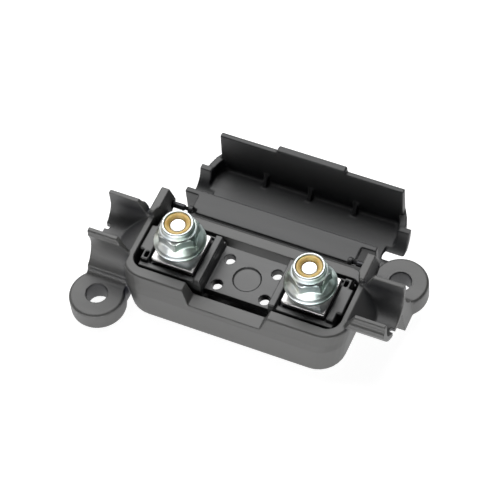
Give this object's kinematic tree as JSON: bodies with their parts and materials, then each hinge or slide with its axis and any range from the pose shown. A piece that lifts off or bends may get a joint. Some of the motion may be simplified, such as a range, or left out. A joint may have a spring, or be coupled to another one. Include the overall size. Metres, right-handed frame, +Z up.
{
  "type": "strip fuse holder",
  "caption": "Black moulded strip-fuse holder with a hinged lid, threaded studs with flanged lock nuts, cable cradles at both ends and screw ears.",
  "frame": {"origin": "centre of the base's underside, in the plane it is screwed down to", "axes": "+X along the holder towards the right-hand cable cradle, +Y towards the hinge and the opened lid, +Z up from the mounting surface"},
  "size_m": [0.0716, 0.0553, 0.028],
  "materials": {
    "black_moulding": "matte charcoal moulding with a soft sheen",
    "contact_metal": "pale satin plating",
    "zinc_steel": "bright passivated zinc",
    "yellow_nylon": "translucent yellow nylon",
    "pin_steel": "dark steel"
  },
  "bodies": {
    "base": {"base_housing": "black_moulding", "terminal_carrier": "black_moulding", "left_contact_plate": "contact_metal", "right_contact_plate": "contact_metal", "left_stud": "zinc_steel", "right_stud": "zinc_steel", "left_hinge_pin": "pin_steel", "right_hinge_pin": "pin_steel"},
    "lid": {"lid": "black_moulding"},
    "left_nut": {"left_flange_nut": "zinc_steel", "left_nylon_ring": "yellow_nylon"},
    "right_nut": {"right_flange_nut": "zinc_steel", "right_nylon_ring": "yellow_nylon"}
  },
  "joints": [
    {"name": "lid_hinge", "type": "hinge", "parent": "base", "child": "lid", "pos_m": [0, 0.0122, 0.008], "axis": [1, 0, 0], "range_deg": [0, 175]},
    {"name": "left_nut_turn", "type": "hinge", "parent": "base", "child": "left_nut", "pos_m": [-0.015, 0, 0.0147], "axis": [0, 0, 1], "continuous": true},
    {"name": "right_nut_turn", "type": "hinge", "parent": "base", "child": "right_nut", "pos_m": [0.015, 0, 0.0147], "axis": [0, 0, 1], "continuous": true}
  ]
}
